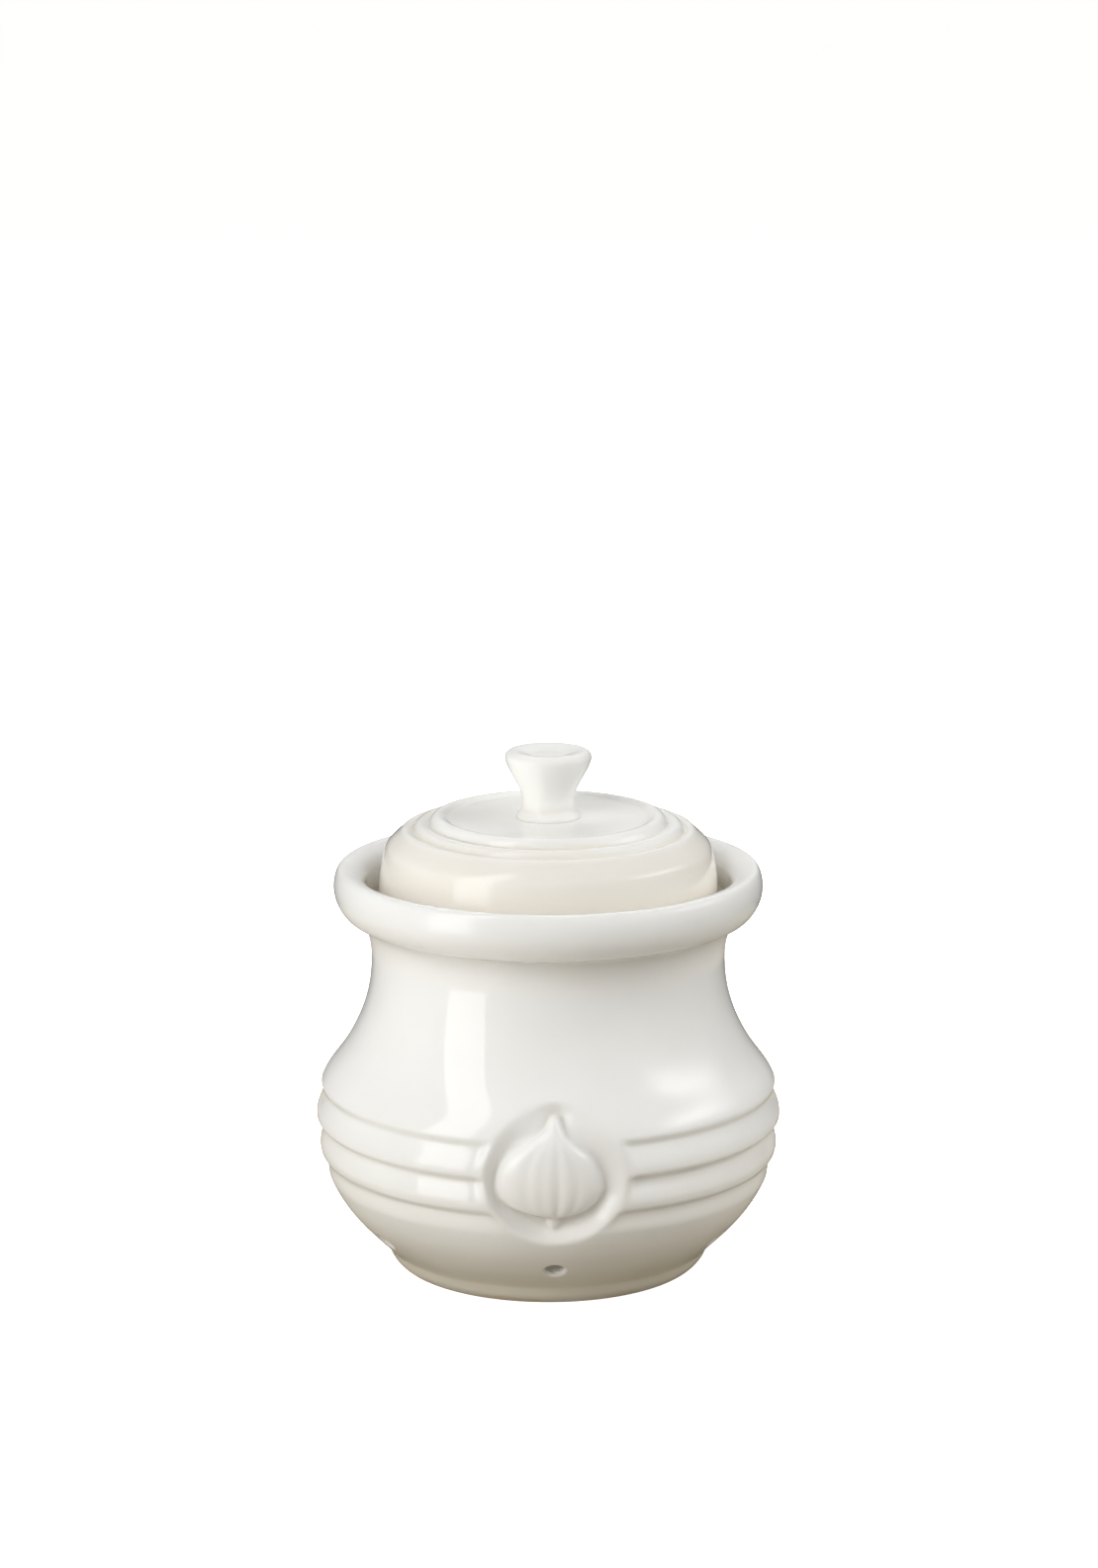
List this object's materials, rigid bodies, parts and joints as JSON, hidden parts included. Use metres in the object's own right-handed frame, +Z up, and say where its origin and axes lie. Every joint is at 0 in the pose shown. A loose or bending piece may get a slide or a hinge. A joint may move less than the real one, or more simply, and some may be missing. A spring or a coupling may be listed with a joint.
{
  "type": "garlic keeper",
  "caption": "Round-bellied stoneware jar with a rolled rim, raised ribs, a garlic-bulb medallion and vents above its foot, closed by a ringed lid with a dished knob.",
  "frame": {"origin": "on the pot's axis, on the plane that its foot rests on", "axes": "+Z up along the pot's axis; -Y out of the front, through the medallion's middle; +X to the right as the front is faced"},
  "size_m": [0.127, 0.1271, 0.143],
  "materials": {
    "pot_glaze": "gloss",
    "lid_glaze": "gloss",
    "knob_glaze": "gloss"
  },
  "bodies": {
    "pot": {"pot": "pot_glaze"},
    "lid": {"lid": "lid_glaze", "knob": "knob_glaze"}
  },
  "joints": [
    {"name": "lid_lift", "type": "slide", "parent": "pot", "child": "lid", "axis": [0, 0, 1], "range_m": [0, 0.08]}
  ]
}
